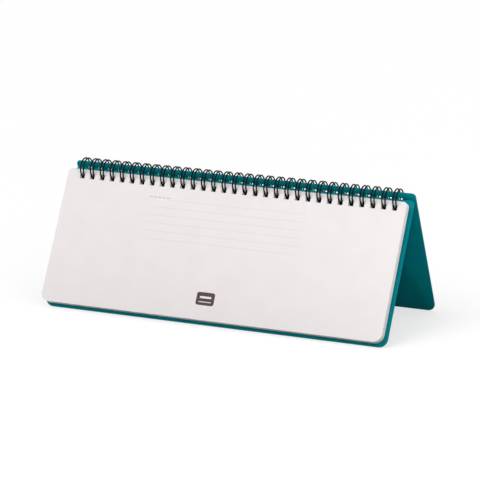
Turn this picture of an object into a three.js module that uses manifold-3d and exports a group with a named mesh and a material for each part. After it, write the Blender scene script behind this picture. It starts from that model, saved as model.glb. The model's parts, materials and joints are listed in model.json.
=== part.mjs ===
// A wire-bound desk planner that stands as a tent: a block of pages on its cover leans back at the front, the
// other cover is folded over the top as the rear leg, and a twin-loop wire binds all three along the top.
// Millimetres, +X along the binding, +Y to the rear, +Z up, origin on the desk under the middle of the tent.
import * as THREE from 'three';
import { mergeVertices } from 'three/addons/utils/BufferGeometryUtils.js';
import Module from 'manifold-3d';

const wasm = await Module();
wasm.setup();

// Wire: loops at three to the inch, each a pair of parallel wires
const LOOPS = 31;
const PITCH = 25.4 / 3;
const WIRE_DIAMETER = 1.0;
const PAIR_SPACING = 2.4;
const RING_RADIUS = 7.5;
const BASE_BEND_RADIUS = 0.8;
const TIP_GAP = 0.3;

// Punched holes, square, the same in covers and pages
const HOLE = 4.0;

// Covers
const COVER_WIDTH = 276.4;
const COVER_HEIGHT = 110;
const COVER_THICKNESS = 1.2;
const COVER_SHIFT = 0.4;
const COVER_HOLE_TO_EDGE = 6.6;
const LEAN = THREE.MathUtils.degToRad(30.2);

// Pages: the block's middle lies a little in front of the ring's centre
const PAGE_WIDTH = 275.4;
const PAGE_HEIGHT = 104.4;
const BLOCK_THICKNESS = 5.3;
const BLOCK_FORWARD = 1.1;
const PAGE_SHIFT = -1.8;
const PAGE_HOLE_TO_EDGE = 5.2;

// Corners of covers and pages
const FREE_CORNER_RADIUS = 6.5;
const BOUND_CORNER_RADIUS = 3.0;
const CORNER_STEPS = 6;

// Clearances: wire to the hole's edge, sheet to sheet, and wire to the sheets at the seam
const HOLE_CLEARANCE = 0.3;
const FLAT_CLEARANCE = 0.3;
const SEAM_CLEARANCE = 0.3;

// Facets of the wire
const WIRE_SIDES = 6;
const RING_STEPS = 11;
const TIP_STEPS = 3;

// The faceted section has the round wire's area
const sideAngle = 2 * Math.PI / WIRE_SIDES;
const sectionRadius = (WIRE_DIAMETER / 2) * Math.sqrt(sideAngle / Math.sin(sideAngle));

// Every sheet is drawn flat about the ring's centre: u runs up the sheet to its bound edge, and depth runs
// from the first page towards the rear cover. The wire's seam lies between the pages and their cover.
const blockBack = BLOCK_THICKNESS / 2 - BLOCK_FORWARD;
const blockFront = blockBack - BLOCK_THICKNESS;
const seamDepth = blockBack + SEAM_CLEARANCE + sectionRadius;
const backCoverDepth = seamDepth + BASE_BEND_RADIUS + FLAT_CLEARANCE / 2;
const frontCoverDepth = backCoverDepth + COVER_THICKNESS + FLAT_CLEARANCE;

// How far below the ring's centre a circle of the given radius crosses a depth
function crossing(radius, depth) {
  return Math.sqrt(radius * radius - depth * depth);
}

const outerReach = RING_RADIUS + sectionRadius;
const innerReach = RING_RADIUS - sectionRadius;

// The ring hangs on the lower edge of each cover's holes, and the pages hang on the ring by the upper edge
function coverHoleHeight(depth) {
  return -crossing(outerReach, depth) - HOLE_CLEARANCE + HOLE / 2;
}

const blockReach = Math.max(Math.abs(blockFront), Math.abs(blockBack));
const backCover = {
  width: COVER_WIDTH,
  height: COVER_HEIGHT,
  thickness: COVER_THICKNESS,
  shift: COVER_SHIFT,
  holeToEdge: COVER_HOLE_TO_EDGE,
  depth: backCoverDepth,
  holeHeight: coverHoleHeight(backCoverDepth)
};
const frontCover = {
  ...backCover,
  depth: frontCoverDepth,
  holeHeight: coverHoleHeight(frontCoverDepth)
};
const pageBlock = {
  width: PAGE_WIDTH,
  height: PAGE_HEIGHT,
  thickness: BLOCK_THICKNESS,
  shift: PAGE_SHIFT,
  holeToEdge: PAGE_HOLE_TO_EDGE,
  depth: blockFront,
  holeHeight: -crossing(innerReach, blockReach) + HOLE_CLEARANCE - HOLE / 2
};

function boundEdge(sheet) {
  return sheet.holeHeight + sheet.holeToEdge;
}

function freeEdge(sheet) {
  return boundEdge(sheet) - sheet.height;
}

// A point of a sheet at the given tilt, as height and rearward distance from the ring's centre
function upOf(u, depth, tilt) {
  return u * Math.sin(tilt) - depth * Math.cos(tilt);
}

function rearOf(u, depth, tilt) {
  return u * Math.cos(tilt) + depth * Math.sin(tilt);
}

// The back cover leans at LEAN with its rear edge on the desk, and that sets the ring's height. The front
// cover's lean follows from standing its inner edge on the same desk.
const backTilt = Math.PI / 2 - LEAN;
const ringHeight = -upOf(freeEdge(backCover), backCoverDepth + COVER_THICKNESS, backTilt);
const legLength = Math.hypot(freeEdge(frontCover), frontCoverDepth);
const legAngle = Math.atan2(frontCoverDepth, -freeEdge(frontCover));
const frontTilt = Math.PI / 2 + Math.acos(ringHeight / legLength) - legAngle;

// The pages stand off their cover at the wire and lie on it at their free edge
const pageSettle = Math.asin((backCoverDepth - blockBack - FLAT_CLEARANCE) / -freeEdge(pageBlock));
const pageTilt = backTilt + pageSettle;

// The middle of the tent, from side to side and from front to rear
const leftEnd = Math.min(PAGE_SHIFT - PAGE_WIDTH / 2, COVER_SHIFT - COVER_WIDTH / 2);
const rightEnd = Math.max(PAGE_SHIFT + PAGE_WIDTH / 2, COVER_SHIFT + COVER_WIDTH / 2);
const ringX = -(leftEnd + rightEnd) / 2;
const frontEnd = rearOf(freeEdge(pageBlock), blockFront, pageTilt);
const rearEnd = rearOf(freeEdge(frontCover), frontCoverDepth + COVER_THICKNESS, frontTilt);
const ringY = -(frontEnd + rearEnd) / 2;

const coverBoard = new THREE.MeshStandardMaterial({ color: 0x00737a, roughness: 0.55, metalness: 0 });
const paper = new THREE.MeshStandardMaterial({ color: 0xece6e6, roughness: 0.85, metalness: 0 });
const blackWire = new THREE.MeshStandardMaterial({ color: 0x0b0b0c, roughness: 0.35, metalness: 0.4 });

// A rectangle with its free and bound corners rounded
function sheetOutline(sheet) {
  const left = sheet.shift - sheet.width / 2;
  const right = left + sheet.width;
  const top = boundEdge(sheet);
  const bottom = freeEdge(sheet);
  const outline = new THREE.Shape();
  outline.moveTo(right - FREE_CORNER_RADIUS, bottom);
  roundCorner(outline, right - FREE_CORNER_RADIUS, bottom + FREE_CORNER_RADIUS, FREE_CORNER_RADIUS, -1);
  outline.lineTo(right, top - BOUND_CORNER_RADIUS);
  roundCorner(outline, right - BOUND_CORNER_RADIUS, top - BOUND_CORNER_RADIUS, BOUND_CORNER_RADIUS, 0);
  outline.lineTo(left + BOUND_CORNER_RADIUS, top);
  roundCorner(outline, left + BOUND_CORNER_RADIUS, top - BOUND_CORNER_RADIUS, BOUND_CORNER_RADIUS, 1);
  outline.lineTo(left, bottom + FREE_CORNER_RADIUS);
  roundCorner(outline, left + FREE_CORNER_RADIUS, bottom + FREE_CORNER_RADIUS, FREE_CORNER_RADIUS, 2);
  return outline;
}

// A quarter turn that starts at the given number of quarters
function roundCorner(outline, x, y, radius, quarter) {
  for (let step = 1; step <= CORNER_STEPS; step++) {
    const angle = (quarter + step / CORNER_STEPS) * Math.PI / 2;
    outline.lineTo(x + radius * Math.cos(angle), y + radius * Math.sin(angle));
  }
}

function loopX(loop) {
  return (loop - (LOOPS - 1) / 2) * PITCH;
}

// One square punch for each loop, long enough to pass through the sheet
function punches(sheet) {
  const length = 3 * sheet.thickness;
  const solids = [];
  for (let loop = 0; loop < LOOPS; loop++) {
    const punch = new THREE.BoxGeometry(HOLE, HOLE, length);
    punch.translate(loopX(loop), sheet.holeHeight, sheet.thickness / 2);
    solids.push(solidOf(punch));
  }
  return solids;
}

function solidOf(geometry) {
  const bare = geometry.clone();
  bare.deleteAttribute('normal');
  bare.deleteAttribute('uv');
  const merged = mergeVertices(bare);
  return new wasm.Manifold(new wasm.Mesh({
    numProp: 3,
    vertProperties: merged.attributes.position.array,
    triVerts: Uint32Array.from(merged.index.array)
  }));
}

function geometryOf(solid) {
  const mesh = solid.getMesh();
  const geometry = new THREE.BufferGeometry();
  geometry.setAttribute('position', new THREE.BufferAttribute(mesh.vertProperties, 3));
  geometry.setIndex(new THREE.BufferAttribute(mesh.triVerts, 1));
  geometry.computeVertexNormals();
  return geometry;
}

// A punched sheet or block, set at its depth behind the ring's centre
function sheetMesh(name, sheet, material) {
  const blank = new THREE.ExtrudeGeometry(sheetOutline(sheet), {
    depth: sheet.thickness,
    bevelEnabled: false
  });
  let punched = solidOf(blank);
  for (const punch of punches(sheet)) {
    punched = punched.subtract(punch);
  }
  const geometry = geometryOf(punched);
  geometry.translate(0, 0, -sheet.depth - sheet.thickness);
  const mesh = new THREE.Mesh(geometry, material);
  mesh.name = name;
  return mesh;
}

// The closed wire's course: along the base, round each loop to its tip, across, and back to the base.
// A place on it is an x and an arc length from the seam, with the arc turned round the ring.
const seamAngle = Math.asin(seamDepth / RING_RADIUS);
const tipRadius = PAIR_SPACING / 2;
const ringStart = BASE_BEND_RADIUS;
const ringEnd = 2 * Math.PI * RING_RADIUS - WIRE_DIAMETER - TIP_GAP - tipRadius;
const stepAngle = (ringEnd - ringStart) / RING_RADIUS / RING_STEPS;

// Corners of the faceted ring stand out a little, so that its facets lie evenly about the true circle
const facetRadius = RING_RADIUS * 2 / (1 + Math.cos(stepAngle / 2));

function wirePoint(x, arc) {
  const angle = seamAngle + arc / RING_RADIUS;
  return new THREE.Vector3(x, -facetRadius * Math.cos(angle), -facetRadius * Math.sin(angle));
}

function wireCourse() {
  const points = [];
  for (let loop = 0; loop < LOOPS; loop++) {
    const leftX = loopX(loop) - PAIR_SPACING / 2;
    const rightX = loopX(loop) + PAIR_SPACING / 2;
    baseBend(points, leftX, -1, loop === 0);
    for (let step = 0; step <= RING_STEPS; step++) {
      points.push(wirePoint(leftX, ringStart + (ringEnd - ringStart) * step / RING_STEPS));
    }
    for (let step = 1; step < TIP_STEPS; step++) {
      const angle = Math.PI * step / TIP_STEPS;
      points.push(wirePoint(loopX(loop) - tipRadius * Math.cos(angle), ringEnd + tipRadius * Math.sin(angle)));
    }
    for (let step = RING_STEPS; step >= 0; step--) {
      points.push(wirePoint(rightX, ringStart + (ringEnd - ringStart) * step / RING_STEPS));
    }
    baseBend(points, rightX, 1, loop === LOOPS - 1);
  }
  return points;
}

// The bend between a loop and the straight base beside it. The wire's two ends are cut after their bend.
function baseBend(points, x, side, isEnd) {
  const middle = wirePoint(
    x + side * BASE_BEND_RADIUS * (1 - Math.SQRT1_2),
    BASE_BEND_RADIUS * (1 - Math.SQRT1_2)
  );
  const foot = wirePoint(x + side * BASE_BEND_RADIUS, 0);
  const stub = wirePoint(x + side * (BASE_BEND_RADIUS + WIRE_DIAMETER), 0);
  const bend = isEnd ? [middle, foot, stub] : [middle, foot];
  points.push(...(side < 0 ? bend.reverse() : bend));
}

// A course of straight steps, with one facet to each step
class StraightSteps extends THREE.Curve {
  constructor(points) {
    super();
    this.points = points;
  }

  getPoint(t, target = new THREE.Vector3()) {
    const place = t * (this.points.length - 1);
    const index = Math.min(Math.floor(place), this.points.length - 2);
    return target.lerpVectors(this.points[index], this.points[index + 1], place - index);
  }

  getUtoTmapping(u) {
    return u;
  }
}

function wireSection() {
  const section = new THREE.Shape();
  for (let side = 0; side < WIRE_SIDES; side++) {
    const x = sectionRadius * Math.cos(side * sideAngle);
    const y = sectionRadius * Math.sin(side * sideAngle);
    if (side === 0) {
      section.moveTo(x, y);
    } else {
      section.lineTo(x, y);
    }
  }
  return section;
}

function wireMesh() {
  const points = wireCourse();
  const geometry = new THREE.ExtrudeGeometry(wireSection(), {
    steps: points.length - 1,
    extrudePath: new StraightSteps(points),
    bevelEnabled: false
  });
  const mesh = new THREE.Mesh(geometry, blackWire);
  mesh.name = 'wire_binding';
  return mesh;
}

// A sheet's group turns about the ring's centre
function tilted(mesh, tilt) {
  const group = new THREE.Group();
  group.rotation.x = tilt;
  group.add(mesh);
  return group;
}

const planner = new THREE.Group();
planner.position.set(ringX, ringY, ringHeight);
planner.add(tilted(sheetMesh('page_block', pageBlock, paper), pageTilt));
planner.add(tilted(sheetMesh('back_cover', backCover, coverBoard), backTilt));
planner.add(tilted(sheetMesh('front_cover', frontCover, coverBoard), frontTilt));
planner.add(tilted(wireMesh(), backTilt));

export default planner;
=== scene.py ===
import json
import math
import random

import bmesh
import bpy
from mathutils import Matrix, Vector


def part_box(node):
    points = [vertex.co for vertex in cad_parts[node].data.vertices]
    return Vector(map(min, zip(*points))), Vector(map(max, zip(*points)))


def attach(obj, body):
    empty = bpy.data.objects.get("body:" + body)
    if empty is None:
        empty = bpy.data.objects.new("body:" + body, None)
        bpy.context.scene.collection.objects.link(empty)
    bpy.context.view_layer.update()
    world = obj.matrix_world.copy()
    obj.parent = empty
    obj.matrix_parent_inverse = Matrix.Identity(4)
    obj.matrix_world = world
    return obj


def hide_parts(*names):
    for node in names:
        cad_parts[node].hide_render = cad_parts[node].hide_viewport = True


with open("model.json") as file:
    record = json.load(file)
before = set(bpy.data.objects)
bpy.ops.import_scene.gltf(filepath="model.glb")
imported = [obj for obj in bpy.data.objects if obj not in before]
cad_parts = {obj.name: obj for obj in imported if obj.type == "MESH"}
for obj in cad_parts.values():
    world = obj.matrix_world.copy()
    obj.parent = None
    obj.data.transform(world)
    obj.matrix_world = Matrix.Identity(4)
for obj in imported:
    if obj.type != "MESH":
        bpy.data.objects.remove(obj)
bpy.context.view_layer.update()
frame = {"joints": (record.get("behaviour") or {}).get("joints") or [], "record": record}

# Camera
# The view is the photograph's: from the right and above, with a long lens.
CAMERA_PLACE = (0.7714, -1.6670, 0.5522)
CAMERA_YAW = math.radians(24.753)
CAMERA_PITCH = math.radians(-15.192)
CAMERA_ROLL = math.radians(-0.540)
FOCAL_LENGTH_PIXELS = 2554.8
PICTURE_PIXELS = 480
SENSOR_MM = 36

camera = bpy.data.objects.new("camera", bpy.data.cameras.new("camera"))
bpy.context.scene.collection.objects.link(camera)
camera.data.sensor_width = SENSOR_MM
camera.data.lens = SENSOR_MM * FOCAL_LENGTH_PIXELS / PICTURE_PIXELS
camera.matrix_world = (
    Matrix.Translation(CAMERA_PLACE)
    @ Matrix.Rotation(CAMERA_YAW, 4, "Z")
    @ Matrix.Rotation(math.pi / 2 + CAMERA_PITCH, 4, "X")
    @ Matrix.Rotation(CAMERA_ROLL, 4, "Z")
)
camera.data.clip_start = 0.01
camera.data.clip_end = 20
bpy.context.scene.camera = camera
bpy.context.scene.view_settings.view_transform = "Standard"

# Page block
# Fifty-three leaves of uncoated paper, punched along one edge and cut together, nearly flush.
# They hang on the wire by their holes. The first leaf has pale ruled lines and a small plate. The leaves
# behind it take a lighter paper colour, painted light on the block's cut edges.
RING = Vector(next(joint["pos_m"] for joint in frame["joints"] if joint["name"] == "pages_lift"))
LOOPS = 31
PITCH = 0.0254 / 3
HOLE = 0.0040
HOLE_CORNER = 0.0005
FREE_CORNER = 0.0065
BOUND_CORNER = 0.0030
CORNER_SEGMENTS = 8
HOLE_CORNER_SEGMENTS = 2
PAGE_HEIGHT = 0.1044
PAGE_TOP = -0.002352
PAGE_HOLES = -0.007552
BLOCK_FRONT = -0.00375
BLOCK_BACK = 0.00155
LEAVES = 53
LEAF_SHARE = 0.97
LEAF_SHIFT = 0.00007


def mount_axis(name):
    """The outward direction of one of the part's flat faces."""
    return Vector(next(mount["axis"] for mount in frame["record"]["mounts"] if mount["name"] == name))


def rounded_rectangle(bm, low, high, low_radius, high_radius, segments):
    """A flat outline between two corners, its lower and its upper corners rounded."""
    verts = bmesh.ops.create_grid(bm, x_segments=1, y_segments=1, size=0.5)["verts"]
    bmesh.ops.scale(bm, vec=(high[0] - low[0], high[1] - low[1], 1), verts=verts)
    bmesh.ops.translate(bm, vec=((low[0] + high[0]) / 2, (low[1] + high[1]) / 2, 0), verts=verts)
    middle = (low[1] + high[1]) / 2
    lower = [vert for vert in verts if vert.co.y < middle]
    upper = [vert for vert in verts if vert.co.y > middle]
    for corners, radius in ((lower, low_radius), (upper, high_radius)):
        bmesh.ops.bevel(
            bm, geom=corners, offset=radius, offset_type="OFFSET", segments=segments,
            profile=0.5, affect="VERTICES", material=-1,
        )


def punched_face(bm, low, high, hole_height):
    """A punched sheet drawn flat about the ring's centre: x along the wire, y up to the bound edge."""
    rounded_rectangle(bm, low, high, FREE_CORNER, BOUND_CORNER, CORNER_SEGMENTS)
    for loop in range(LOOPS):
        x = (loop - (LOOPS - 1) / 2) * PITCH
        corner_low = (x - HOLE / 2, hole_height - HOLE / 2)
        corner_high = (x + HOLE / 2, hole_height + HOLE / 2)
        rounded_rectangle(bm, corner_low, corner_high, HOLE_CORNER, HOLE_CORNER, HOLE_CORNER_SEGMENTS)
    bmesh.ops.delete(bm, geom=bm.faces[:], context="FACES_ONLY")
    bmesh.ops.triangle_fill(bm, use_beauty=True, edges=bm.edges[:], normal=(0, 0, 1))


def thicken(bm, thickness):
    """Gives the flat sheet its thickness, towards the rear cover."""
    raised = bmesh.ops.extrude_face_region(bm, geom=bm.faces[:])["geom"]
    verts = [item for item in raised if isinstance(item, bmesh.types.BMVert)]
    bmesh.ops.translate(bm, vec=(0, 0, -thickness), verts=verts)
    bmesh.ops.recalc_face_normals(bm, faces=bm.faces[:])


def stand_up(bm, tilt):
    """Turns what is drawn flat about the ring's centre to its lean, and sets it on the ring."""
    bmesh.ops.transform(bm, matrix=Matrix.Translation(RING) @ Matrix.Rotation(tilt, 4, "X"), verts=bm.verts)


def finished_piece(bm, name, materials, smooth_below=None):
    """Makes the mesh an object at the origin. Faces that meet below the angle given look smooth."""
    mesh = bpy.data.meshes.new(name)
    bm.to_mesh(mesh)
    bm.free()
    for material in materials:
        mesh.materials.append(material)
    if smooth_below is not None:
        mesh.shade_smooth()
        mesh.set_sharp_from_angle(angle=smooth_below)
    piece = bpy.data.objects.new(name, mesh)
    bpy.context.scene.collection.objects.link(piece)
    return piece


page_normal = mount_axis("first_page_face")
page_tilt = math.atan2(-page_normal.y, page_normal.z)
page_low, page_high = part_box("page_block")
page_left = page_low.x - RING.x
page_right = page_high.x - RING.x
leaf_pitch = (BLOCK_BACK - BLOCK_FRONT) / LEAVES

shuffle = random.Random(7)
leaves = bmesh.new()
punched_face(leaves, (page_left, PAGE_TOP - PAGE_HEIGHT), (page_right, PAGE_TOP), PAGE_HOLES)
thicken(leaves, leaf_pitch * LEAF_SHARE)
bmesh.ops.translate(leaves, vec=(0, 0, -BLOCK_FRONT), verts=leaves.verts)
first_leaf = leaves.verts[:] + leaves.edges[:] + leaves.faces[:]
for leaf in range(1, LEAVES):
    copied = bmesh.ops.duplicate(leaves, geom=first_leaf)["geom"]
    verts = [item for item in copied if isinstance(item, bmesh.types.BMVert)]
    drift = (shuffle.uniform(-1, 0) * LEAF_SHIFT, shuffle.uniform(-1, 1) * LEAF_SHIFT, -leaf * leaf_pitch)
    bmesh.ops.translate(leaves, vec=drift, verts=verts)
    for item in copied:
        if isinstance(item, bmesh.types.BMFace):
            item.material_index = 1
stand_up(leaves, page_tilt)

PAPER = (0.860, 0.815, 0.815)
PAPER_SHADE = (0.835, 0.790, 0.790)
# The paper of the leaves behind the first is lighter than the first leaf's: painted light, so that the
# block's cut edges look lit from the side.
CUT_PAPER_PAINTED_LIGHTER = (0.940, 0.905, 0.905)
CUT_PAPER_SHADE_PAINTED_LIGHTER = (0.910, 0.875, 0.875)
PAPER_MOTTLE_SCALE = 60
PAPER_GLOSS_SCALE = 200
PAPER_ROUGHNESS = (0.78, 0.9)
PAPER_SPECULAR = 0.25
FIBRE_SCALE = 900
FIBRE_HEIGHT = 0.00001
PRINT_GREY = (0.62, 0.565, 0.575)
RULE_PINK = (0.71, 0.620, 0.630)
PLATE_BROWN = (0.098, 0.072, 0.068)
RULE_COUNT = 6
RULE_TOP = -0.0194
RULE_PITCH = 0.00614
RULE_LEFT = -0.0673
RULE_RIGHT = 0.0606
RULE_WIDTH = 0.00022
HEADING_LEFT = -0.0672
HEADING_RIGHT = -0.0497
HEADING_HEIGHT = -0.0180
HEADING_THICKNESS = 0.0010
HEADING_GAP_LEFT = -0.0500
DASHES_PER_METRE = 290
DASH_SHARE = 0.7
PLATE_MIDDLE = (-0.0054, -0.0907)
PLATE_SIZE = (0.0146, 0.0098)
PLATE_CORNER = 0.0018
PLATE_MARKS = (((-0.0046, 0.0003), (0.0046, 0.0019)), ((-0.0050, -0.0027), (0.0050, -0.0021)))


class Nodes:
    """Short words for building one material's nodes."""

    def __init__(self, name):
        self.material = bpy.data.materials.new(name)
        self.material.use_nodes = True
        self.tree = self.material.node_tree
        self.shader = self.tree.nodes["Principled BSDF"]
        self.place = self.add("ShaderNodeTexCoord").outputs["Object"]

    def add(self, kind, **settings):
        node = self.tree.nodes.new(kind)
        for setting, value in settings.items():
            setattr(node, setting, value)
        return node

    def join(self, source, target):
        self.tree.links.new(source, target)

    def math(self, operation, *values):
        node = self.add("ShaderNodeMath", operation=operation)
        for socket, value in zip(node.inputs, values):
            if isinstance(value, (int, float)):
                socket.default_value = value
            else:
                self.join(value, socket)
        return node.outputs["Value"]

    def noise(self, scale, detail=4, place=None):
        node = self.add("ShaderNodeTexNoise")
        node.inputs["Scale"].default_value = scale
        node.inputs["Detail"].default_value = detail
        self.join(place or self.place, node.inputs["Vector"])
        return node.outputs["Fac"]

    def blend(self, share, first, second):
        node = self.add("ShaderNodeMix", data_type="RGBA")
        for socket, value in ((node.inputs[0], share), (node.inputs[6], first), (node.inputs[7], second)):
            if isinstance(value, tuple):
                socket.default_value = (*value, 1)
            else:
                self.join(value, socket)
        return node.outputs[2]

    def spread(self, value, low, high, from_low=0.3, from_high=0.7):
        node = self.add("ShaderNodeMapRange")
        self.join(value, node.inputs["Value"])
        node.inputs["From Min"].default_value = from_low
        node.inputs["From Max"].default_value = from_high
        node.inputs["To Min"].default_value = low
        node.inputs["To Max"].default_value = high
        return node.outputs["Result"]

    def relief(self, height, distance, strength=1.0):
        node = self.add("ShaderNodeBump")
        node.inputs["Distance"].default_value = distance
        node.inputs["Strength"].default_value = strength
        self.join(height, node.inputs["Height"])
        self.join(node.outputs["Normal"], self.shader.inputs["Normal"])


def paper(name, printed):
    """Uncoated paper with a faint fibre. The first leaf has its print in the page's own plane. The other
    leaves take a lighter paper colour, painted light on the block's cut edges.
    """
    look = Nodes(name)
    light, shade = (PAPER, PAPER_SHADE) if printed else (CUT_PAPER_PAINTED_LIGHTER, CUT_PAPER_SHADE_PAINTED_LIGHTER)
    colour = look.blend(look.spread(look.noise(PAPER_MOTTLE_SCALE), 0, 1), light, shade)
    if printed:
        turn = look.add("ShaderNodeMapping", vector_type="TEXTURE")
        turn.inputs["Location"].default_value = RING
        turn.inputs["Rotation"].default_value = (page_tilt, 0, 0)
        look.join(look.place, turn.inputs["Vector"])
        split = look.add("ShaderNodeSeparateXYZ")
        look.join(turn.outputs["Vector"], split.inputs["Vector"])
        across = split.outputs["X"]
        up = split.outputs["Y"]
        colour = look.blend(rules(look, across, up), colour, RULE_PINK)
        colour = look.blend(heading(look, across, up), colour, PRINT_GREY)
        colour = look.blend(plate(look, across, up), colour, PLATE_BROWN)
        colour = look.blend(plate_marks(look, across, up), colour, PAPER)
    look.join(colour, look.shader.inputs["Base Color"])
    look.join(look.spread(look.noise(PAPER_GLOSS_SCALE), *PAPER_ROUGHNESS), look.shader.inputs["Roughness"])
    look.shader.inputs["Specular IOR Level"].default_value = PAPER_SPECULAR
    look.relief(look.noise(FIBRE_SCALE, 6), FIBRE_HEIGHT)
    return look.material


def between(look, value, low, high):
    """One where the value lies between the two limits, and nothing elsewhere."""
    above = look.math("GREATER_THAN", value, low)
    below = look.math("LESS_THAN", value, high)
    return look.math("MULTIPLY", above, below)


def rules(look, across, up):
    """Six ruled lines. The topmost starts after the heading."""
    mask = 0
    for rule in range(RULE_COUNT):
        height = RULE_TOP - rule * RULE_PITCH
        left = HEADING_GAP_LEFT if rule == 0 else RULE_LEFT
        line = look.math(
            "MULTIPLY",
            between(look, up, height - RULE_WIDTH / 2, height + RULE_WIDTH / 2),
            between(look, across, left, RULE_RIGHT),
        )
        mask = look.math("MAXIMUM", mask, line)
    return mask


def heading(look, across, up):
    """A short row of plain dashes where the page has its heading."""
    from_left = look.math("SUBTRACT", across, HEADING_LEFT)
    dash = look.math("FRACT", look.math("MULTIPLY", from_left, DASHES_PER_METRE))
    row = look.math(
        "MULTIPLY",
        between(look, up, HEADING_HEIGHT - HEADING_THICKNESS / 2, HEADING_HEIGHT + HEADING_THICKNESS / 2),
        between(look, across, HEADING_LEFT, HEADING_RIGHT),
    )
    return look.math("MULTIPLY", row, look.math("LESS_THAN", dash, DASH_SHARE))


def plate(look, across, up):
    """A plain rounded rectangle."""
    reach = []
    for value, middle, side in zip((across, up), PLATE_MIDDLE, PLATE_SIZE):
        away = look.math("ABSOLUTE", look.math("SUBTRACT", value, middle))
        past = look.math("MAXIMUM", look.math("SUBTRACT", away, side / 2 - PLATE_CORNER), 0.0)
        reach.append(look.math("MULTIPLY", past, past))
    distance = look.math("SQRT", look.math("ADD", reach[0], reach[1]))
    return look.math("LESS_THAN", distance, PLATE_CORNER)


def plate_marks(look, across, up):
    """Two plain light bars on the plate."""
    mask = 0
    for low, high in PLATE_MARKS:
        bar = look.math(
            "MULTIPLY",
            between(look, across, PLATE_MIDDLE[0] + low[0], PLATE_MIDDLE[0] + high[0]),
            between(look, up, PLATE_MIDDLE[1] + low[1], PLATE_MIDDLE[1] + high[1]),
        )
        mask = look.math("MAXIMUM", mask, bar)
    return mask


page_materials = [paper("printed_paper", True), paper("plain_paper_painted_lighter", False)]
page_piece = finished_piece(leaves, "page_leaves", page_materials)
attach(page_piece, "pages")
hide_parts("page_block")

# Back cover
# Stiff board, 1.2 mm, laminated in deep teal and die-cut, with its edges pressed slightly round.
# It lies under the pages and is the tent's front leg. The wire runs through its punched holes.
COVER_THICKNESS = 0.0012
COVER_HEIGHT = 0.110
COVER_EDGE = 0.0002
BACK_COVER_TILT = math.radians(59.8)
BACK_COVER_TOP = 0.00098
BACK_COVER_HOLES = -0.00562
BACK_COVER_DEPTH = 0.00335
SMOOTH_ANGLE = math.radians(35)
RIM_ANGLE = 1.2


def cover_mesh(node, top, holes, depth, tilt):
    """A punched board with softened edges, standing at its lean."""
    low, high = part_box(node)
    bm = bmesh.new()
    punched_face(bm, (low.x - RING.x, top - COVER_HEIGHT), (high.x - RING.x, top), holes)
    thicken(bm, COVER_THICKNESS)
    rims = [edge for edge in bm.edges if len(edge.link_faces) == 2 and edge.calc_face_angle() > RIM_ANGLE]
    rims = [edge for edge in rims if abs(edge.verts[0].co.z - edge.verts[1].co.z) < COVER_THICKNESS / 2]
    bmesh.ops.bevel(
        bm, geom=rims, offset=COVER_EDGE, offset_type="OFFSET", segments=2,
        profile=0.5, affect="EDGES", clamp_overlap=True, material=-1,
    )
    bmesh.ops.translate(bm, vec=(0, 0, -depth), verts=bm.verts)
    stand_up(bm, tilt)
    return bm


TEAL = (0.0005, 0.245, 0.285)
TEAL_DEEP = (0.0003, 0.220, 0.255)
BOARD_MOTTLE_SCALE = 90
BOARD_GLOSS_SCALE = 350
BOARD_ROUGHNESS = (0.5, 0.64)
BOARD_SPECULAR = 0.03
BOARD_GRAIN_SCALE = 1400
BOARD_GRAIN_HEIGHT = 0.00002
BOARD_GRAIN_STRENGTH = 0.6


def teal_board():
    """Silk-laminated board: fine even grain, and a slight unevenness in the print under it."""
    look = Nodes("teal_board")
    colour = look.blend(look.spread(look.noise(BOARD_MOTTLE_SCALE), 0, 1), TEAL, TEAL_DEEP)
    look.join(colour, look.shader.inputs["Base Color"])
    look.join(look.spread(look.noise(BOARD_GLOSS_SCALE), *BOARD_ROUGHNESS), look.shader.inputs["Roughness"])
    look.shader.inputs["Specular IOR Level"].default_value = BOARD_SPECULAR
    look.relief(look.noise(BOARD_GRAIN_SCALE, 3), BOARD_GRAIN_HEIGHT, BOARD_GRAIN_STRENGTH)
    return look.material


board = teal_board()
back_mesh = cover_mesh("back_cover", BACK_COVER_TOP, BACK_COVER_HOLES, BACK_COVER_DEPTH, BACK_COVER_TILT)
back_piece = finished_piece(back_mesh, "back_cover_board", [board], SMOOTH_ANGLE)
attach(back_piece, "root")
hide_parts("back_cover")

# Front cover
# The same teal board, folded over the top on the wire, and standing behind as the tent's rear leg.
# Its bound edge stands up behind the rings, so that its holes show above the pages.
FRONT_COVER_TOP = 0.001875
FRONT_COVER_HOLES = -0.004725
FRONT_COVER_DEPTH = 0.00485
front_normal = mount_axis("front_cover_outer_face")
front_tilt = math.atan2(front_normal.y, -front_normal.z)

front_mesh = cover_mesh("front_cover", FRONT_COVER_TOP, FRONT_COVER_HOLES, FRONT_COVER_DEPTH, front_tilt)
front_piece = finished_piece(front_mesh, "front_cover_board", [board], SMOOTH_ANGLE)
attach(front_piece, "stand")
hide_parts("front_cover")

# Wire binding
# One length of black-coated steel wire, bent into thirty-one pairs of loops and closed round the sheets.
# The closed tips meet the straight base between the page block and its cover, which hide the seam.
WIRE_RADIUS = 0.00055
WIRE_SIDES = 12
RING_RADIUS = 0.0075
PAIR_SPACING = 0.0024
BASE_BEND = 0.0008
SEAM_DEPTH = 0.00240
TIP_GAP = 0.0003
STUB = 0.001
RING_STEPS = 40
BEND_STEPS = 4
TIP_STEPS = 8

tip_radius = PAIR_SPACING / 2
seam_angle = math.asin(SEAM_DEPTH / RING_RADIUS)
start_angle = seam_angle + BASE_BEND / RING_RADIUS
end_angle = seam_angle + 2 * math.pi - (2 * WIRE_RADIUS + TIP_GAP + tip_radius) / RING_RADIUS


def ring_place(angle):
    return Vector((0, -RING_RADIUS * math.cos(angle), -RING_RADIUS * math.sin(angle)))


def ring_way(angle):
    return Vector((0, math.sin(angle), -math.cos(angle)))


ALONG = Vector((1, 0, 0))
base_place = ring_place(start_angle) - ring_way(start_angle) * BASE_BEND
wire = bmesh.new()


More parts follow.
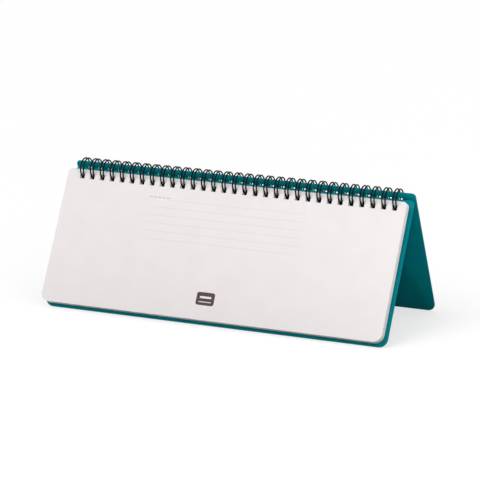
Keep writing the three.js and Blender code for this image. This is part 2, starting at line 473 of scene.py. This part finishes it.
def turn_wire(section, centre, axis, angle, steps):
    """Carries the wire's end section round a bend and gives the new end section."""
    made = bmesh.ops.spin(
        wire, geom=section, cent=centre, axis=axis, angle=angle, steps=steps, use_merge=False,
    )
    return made["geom_last"]


def run_wire(section, length):
    """Carries the wire's end section straight along the base."""
    edges = [item for item in section if isinstance(item, bmesh.types.BMEdge)]
    made = bmesh.ops.extrude_edge_only(wire, edges=edges)["geom"]
    verts = [item for item in made if isinstance(item, bmesh.types.BMVert)]
    bmesh.ops.translate(wire, vec=ALONG * length, verts=verts)
    far = max(vert.co.x for vert in verts)
    end = [vert for vert in verts if vert.co.x > far - WIRE_RADIUS / 2]
    return end + [edge for edge in made if isinstance(edge, bmesh.types.BMEdge)
                  and all(vert in end for vert in edge.verts)]


first_x = -(LOOPS - 1) / 2 * PITCH
circle = bmesh.ops.create_circle(wire, cap_ends=False, radius=WIRE_RADIUS, segments=WIRE_SIDES)["verts"]
bmesh.ops.rotate(wire, verts=circle, cent=(0, 0, 0), matrix=Matrix.Rotation(math.pi / 2, 3, "Y"))
wire_start = base_place + ALONG * (first_x - tip_radius - BASE_BEND - STUB)
bmesh.ops.translate(wire, vec=wire_start, verts=circle)
first_section = circle + wire.edges[:]
bmesh.ops.contextual_create(wire, geom=wire.edges[:])
section = run_wire(first_section, STUB)
for loop in range(LOOPS):
    left = first_x + loop * PITCH - tip_radius
    right = left + PAIR_SPACING
    bend_axis = ALONG.cross(ring_way(start_angle))
    tip_axis = ring_way(end_angle).cross(ALONG)
    left_bend = base_place + ALONG * (left - BASE_BEND) + ring_way(start_angle) * BASE_BEND
    right_bend = base_place + ALONG * (right + BASE_BEND) + ring_way(start_angle) * BASE_BEND
    tip_centre = ring_place(end_angle) + ALONG * (left + right) / 2
    section = turn_wire(section, left_bend, bend_axis, math.pi / 2, BEND_STEPS)
    section = turn_wire(section, (0, 0, 0), ALONG, end_angle - start_angle, RING_STEPS)
    section = turn_wire(section, tip_centre, tip_axis, math.pi, TIP_STEPS)
    section = turn_wire(section, (0, 0, 0), ALONG, start_angle - end_angle, RING_STEPS)
    section = turn_wire(section, right_bend, bend_axis, math.pi / 2, BEND_STEPS)
    is_last = loop == LOOPS - 1
    section = run_wire(section, STUB if is_last else PITCH - PAIR_SPACING - 2 * BASE_BEND)
bmesh.ops.contextual_create(wire, geom=[item for item in section if isinstance(item, bmesh.types.BMEdge)])
bmesh.ops.remove_doubles(wire, verts=wire.verts, dist=0.000001)
bmesh.ops.recalc_face_normals(wire, faces=wire.faces[:])
stand_up(wire, BACK_COVER_TILT)

BLACK = (0.0008, 0.0008, 0.0009)
COAT_SPECKLE = (0.0020, 0.0020, 0.0022)
COAT_MOTTLE_SCALE = 2500
COAT_GLOSS_SCALE = 800
COAT_ROUGHNESS = (0.32, 0.46)
COAT_SPECULAR = 0.08
COAT_PEBBLE_SCALE = 4000
COAT_PEBBLE_HEIGHT = 0.00001
COAT_PEBBLE_STRENGTH = 0.5


def black_coating():
    """Black nylon coating: half gloss, with a faint pebble."""
    look = Nodes("black_coating")
    colour = look.blend(look.spread(look.noise(COAT_MOTTLE_SCALE), 0, 1), BLACK, COAT_SPECKLE)
    look.join(colour, look.shader.inputs["Base Color"])
    look.join(look.spread(look.noise(COAT_GLOSS_SCALE), *COAT_ROUGHNESS), look.shader.inputs["Roughness"])
    look.shader.inputs["Specular IOR Level"].default_value = COAT_SPECULAR
    look.relief(look.noise(COAT_PEBBLE_SCALE, 2), COAT_PEBBLE_HEIGHT, COAT_PEBBLE_STRENGTH)
    return look.material


wire_piece = finished_piece(wire, "wire_loops", [black_coating()], SMOOTH_ANGLE)
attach(wire_piece, "root")
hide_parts("wire_binding")

# Desk
# A plain white surface. To the camera it is white where no shadow falls, and it throws little light back: a
# painted shade, nearly black close to the planner and pale farther off.
DESK_SIZE = 6.0
DESK_SEEN = 0.42
DESK_GLOW = 0.655
DESK_BOUNCE_PAINTED_SHADE_NEAR = 0.02
DESK_BOUNCE_FAR = 0.85
NEAR_REACH = 0.10
FAR_REACH = 0.34

desk_mesh = bmesh.new()
bmesh.ops.create_grid(desk_mesh, x_segments=1, y_segments=1, size=DESK_SIZE)
desk_look = Nodes("desk_white")
path = desk_look.add("ShaderNodeLightPath")
seen = desk_look.math("MAXIMUM", path.outputs["Is Camera Ray"], path.outputs["Is Glossy Ray"])
seen = desk_look.math("MAXIMUM", seen, path.outputs["Is Transmission Ray"])
away = desk_look.add("ShaderNodeVectorMath", operation="LENGTH")
desk_look.join(desk_look.place, away.inputs[0])
# Painted shade: the light the desk throws back is nearly black close to the planner and pale beyond, which
# darkens the planner's lower parts.
bounce_with_painted_shade = desk_look.spread(away.outputs["Value"], 0, 1, NEAR_REACH, FAR_REACH)
bounce_with_painted_shade = desk_look.blend(bounce_with_painted_shade, (DESK_BOUNCE_PAINTED_SHADE_NEAR,) * 3, (DESK_BOUNCE_FAR,) * 3)
desk_colour = desk_look.blend(seen, bounce_with_painted_shade, (DESK_SEEN,) * 3)
desk_look.join(desk_colour, desk_look.shader.inputs["Base Color"])
desk_look.shader.inputs["Roughness"].default_value = 1.0
desk_look.shader.inputs["Specular IOR Level"].default_value = 0.0
desk_look.shader.inputs["Emission Color"].default_value = (1, 1, 1, 1)
desk_look.join(desk_look.math("MULTIPLY", seen, DESK_GLOW), desk_look.shader.inputs["Emission Strength"])
finished_piece(desk_mesh, "desk", [desk_look.material])

# Lamps
# A large soft key above the camera's left, a low one that reaches in under the rear cover, a small one near
# the planner's upper right, and a white surround.
SURROUND = 0.50
KEY_TOWARDS = (-0.45, -0.75, 0.95)
KEY_STRENGTH = 1.22
KEY_SOFTNESS = math.radians(40)
LOW_TOWARDS = (0.50, -0.90, 0.12)
LOW_STRENGTH = 0.55
LOW_SOFTNESS = math.radians(30)
NEAR_LAMP_PLACE = (0.34, -0.30, 0.36)
NEAR_LAMP_AIM = (0.08, 0.0, 0.06)
NEAR_LAMP_SIZE = 0.20
NEAR_LAMP_POWER = 0.30

for name, towards, strength, softness in (
    ("key_lamp", KEY_TOWARDS, KEY_STRENGTH, KEY_SOFTNESS),
    ("low_lamp", LOW_TOWARDS, LOW_STRENGTH, LOW_SOFTNESS),
):
    lamp = bpy.data.objects.new(name, bpy.data.lights.new(name, "SUN"))
    lamp.data.energy = strength
    lamp.data.angle = softness
    lamp.rotation_euler = Vector(towards).to_track_quat("Z", "Y").to_euler()
    bpy.context.scene.collection.objects.link(lamp)

near_lamp = bpy.data.objects.new("near_lamp", bpy.data.lights.new("near_lamp", "AREA"))
near_lamp.data.shape = "DISK"
near_lamp.data.size = NEAR_LAMP_SIZE
near_lamp.data.energy = NEAR_LAMP_POWER
near_lamp.location = NEAR_LAMP_PLACE
near_lamp_way = Vector(NEAR_LAMP_PLACE) - Vector(NEAR_LAMP_AIM)
near_lamp.rotation_euler = near_lamp_way.to_track_quat("Z", "Y").to_euler()
bpy.context.scene.collection.objects.link(near_lamp)

world = bpy.data.worlds.new("surround")
bpy.context.scene.world = world
world.use_nodes = True
world_nodes = world.node_tree.nodes
world_path = world_nodes.new("ShaderNodeLightPath")
world_seen = world_nodes.new("ShaderNodeMath")
world_seen.operation = "MAXIMUM"
world_strength = world_nodes.new("ShaderNodeMapRange")
world_strength.inputs["To Min"].default_value = SURROUND
world_strength.inputs["To Max"].default_value = 1.0
world.node_tree.links.new(world_path.outputs["Is Camera Ray"], world_seen.inputs[0])
world.node_tree.links.new(world_path.outputs["Is Glossy Ray"], world_seen.inputs[1])
world.node_tree.links.new(world_seen.outputs[0], world_strength.inputs["Value"])
world.node_tree.links.new(world_strength.outputs["Result"], world_nodes["Background"].inputs["Strength"])
world_nodes["Background"].inputs["Color"].default_value = (1, 1, 1, 1)
